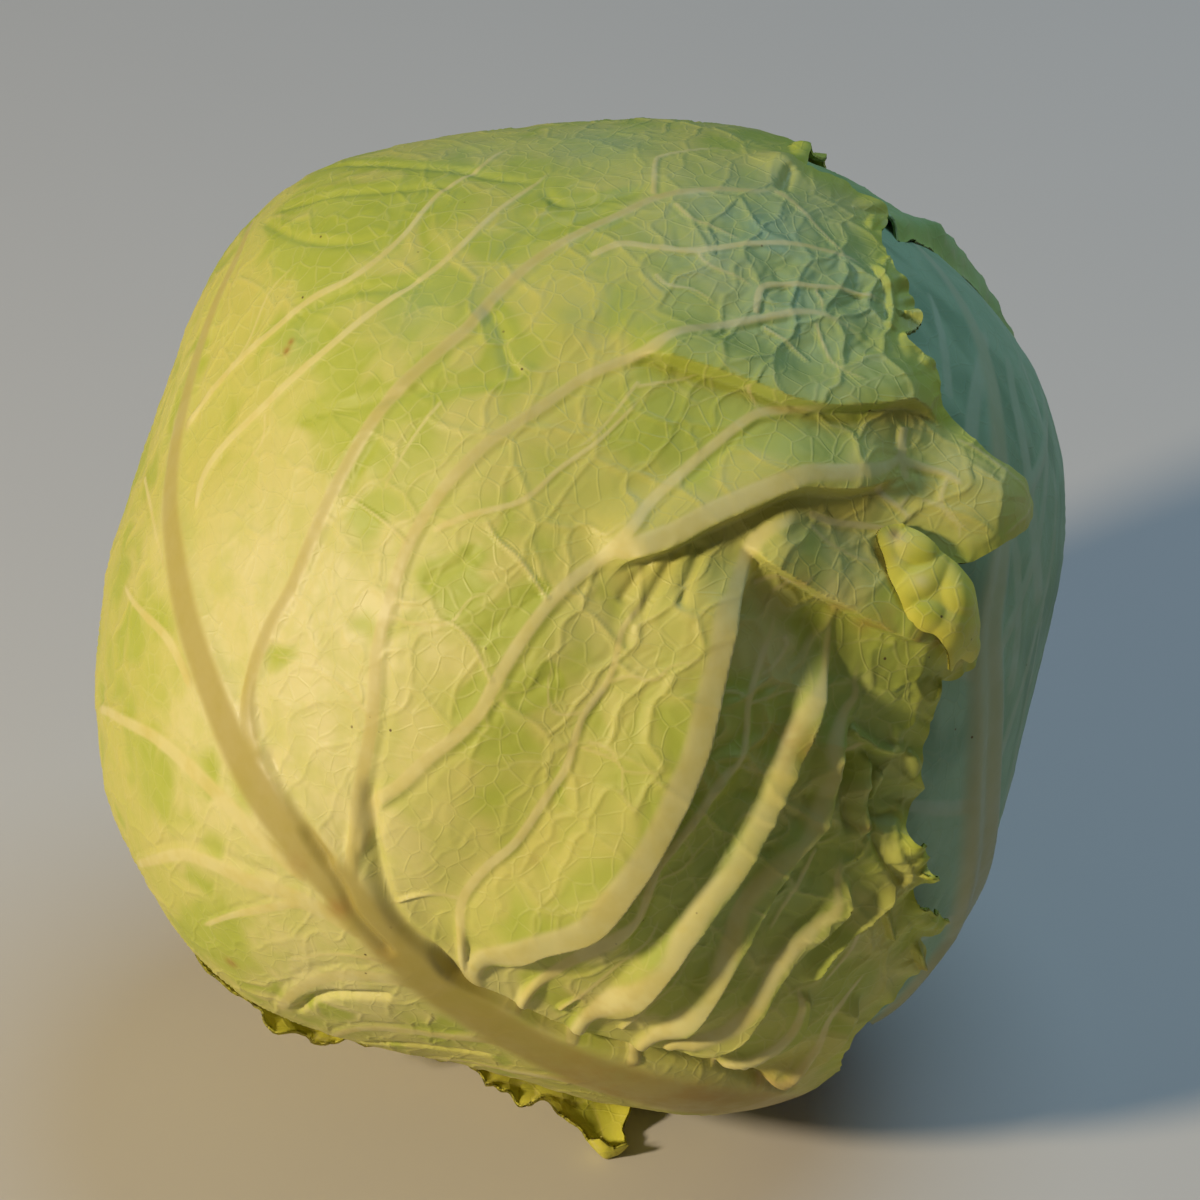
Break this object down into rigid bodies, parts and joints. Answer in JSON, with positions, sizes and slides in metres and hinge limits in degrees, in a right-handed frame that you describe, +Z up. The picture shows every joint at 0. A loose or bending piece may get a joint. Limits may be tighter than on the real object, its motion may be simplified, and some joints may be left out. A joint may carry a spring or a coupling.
{
  "type": "savoy cabbage",
  "caption": "Round head of cabbage, as picked: ribbed and ruffled wrapper leaves over a closed heart, with a cut stem stub, resting on its flattened underside",
  "frame": {"origin": "the middle of the flattened spot under the head, on the surface that it rests on", "axes": "+Z up; the outermost leaf faces -Y; +X is the side where its ruffled margin ends"},
  "size_m": [0.1896, 0.1906, 0.1917],
  "materials": {
    "leaf_front": "fresh pale yellow-green leaf underside with cream ribs and a fine raised net, softly waxy",
    "leaf_back": "fresh mid green leaf, darker curled margin, softly waxy",
    "leaf_right": "fresh blue-green leaf with a grey wax bloom and a pale midrib",
    "leaf_under": "fresh yellow-green leaf with a torn margin",
    "heart": "tight pale inner leaves, smooth and faintly glossy",
    "stem": "cut pale stem with a matt fibrous face"
  },
  "bodies": {
    "root": {"leaf_front": "leaf_front", "leaf_back": "leaf_back", "leaf_right": "leaf_right", "leaf_under": "leaf_under", "heart": "heart", "stem": "stem"}
  },
  "joints": []
}
